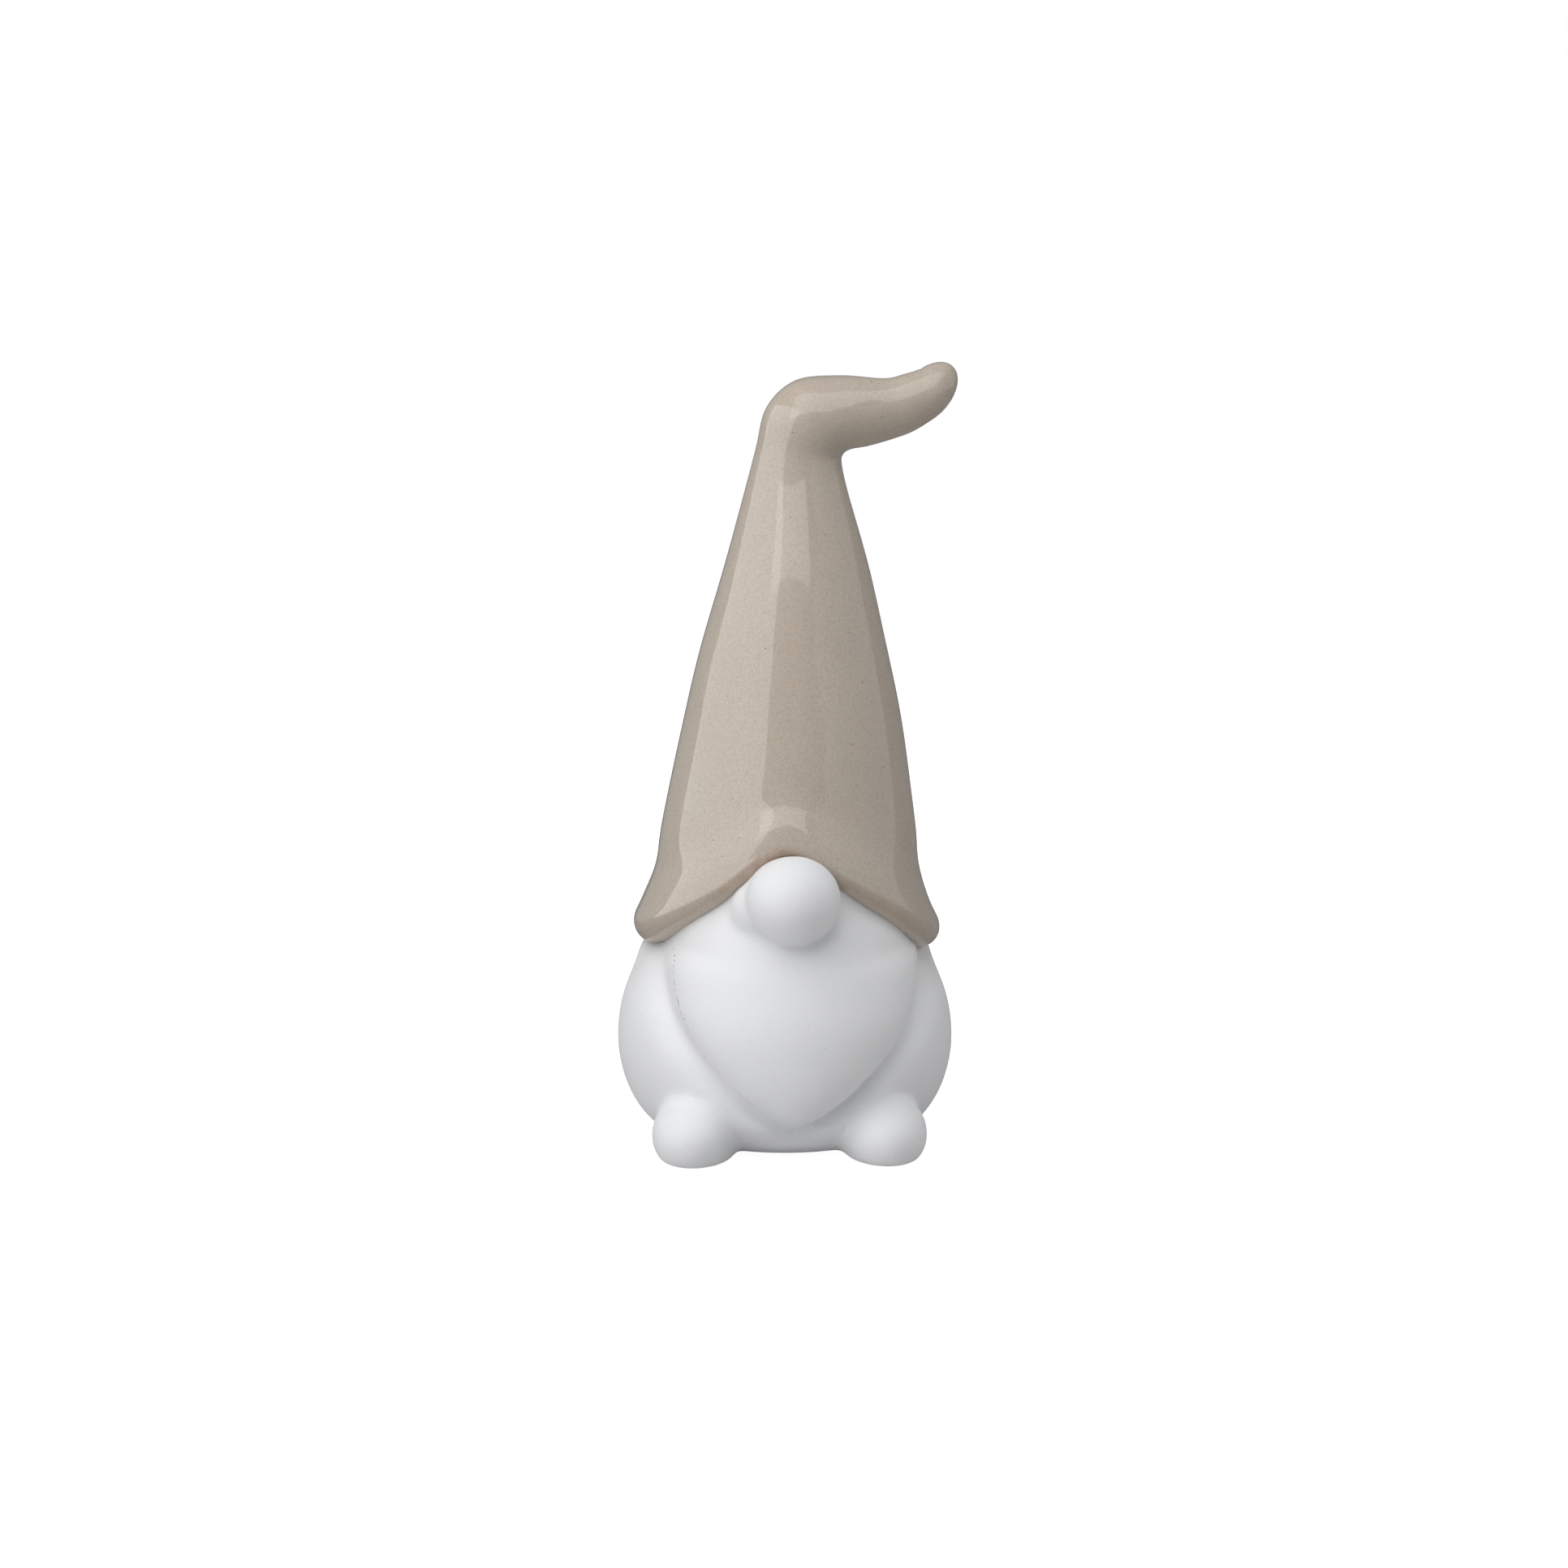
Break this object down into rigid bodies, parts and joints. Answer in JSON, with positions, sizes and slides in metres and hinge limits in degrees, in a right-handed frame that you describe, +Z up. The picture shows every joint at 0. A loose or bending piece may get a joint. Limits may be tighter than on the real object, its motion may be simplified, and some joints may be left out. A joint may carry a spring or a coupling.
{
  "type": "gnome ornament",
  "caption": "Free-standing ceramic gnome ornament: hollow round body with beard, ball nose and feet under a tall glazed hat with a bent tip.",
  "frame": {"origin": "on the surface the ornament stands on, under the middle of the whole figure", "axes": "+Z up through the hat, the face looks along -Y, the figure's own left and the bent tip are towards +X"},
  "size_m": [0.0786, 0.0838, 0.18],
  "materials": {
    "bisque": "matte",
    "bare_clay": "matte",
    "sand_glaze": "gloss",
    "felt": "matte"
  },
  "bodies": {
    "root": {"body_shell": "bisque", "beard": "bisque", "nose": "bisque", "foot_left": "bisque", "foot_right": "bisque", "hat_shell": "bare_clay", "hat_glaze": "sand_glaze", "felt_dot_1": "felt", "felt_dot_2": "felt", "felt_dot_3": "felt"}
  },
  "joints": []
}
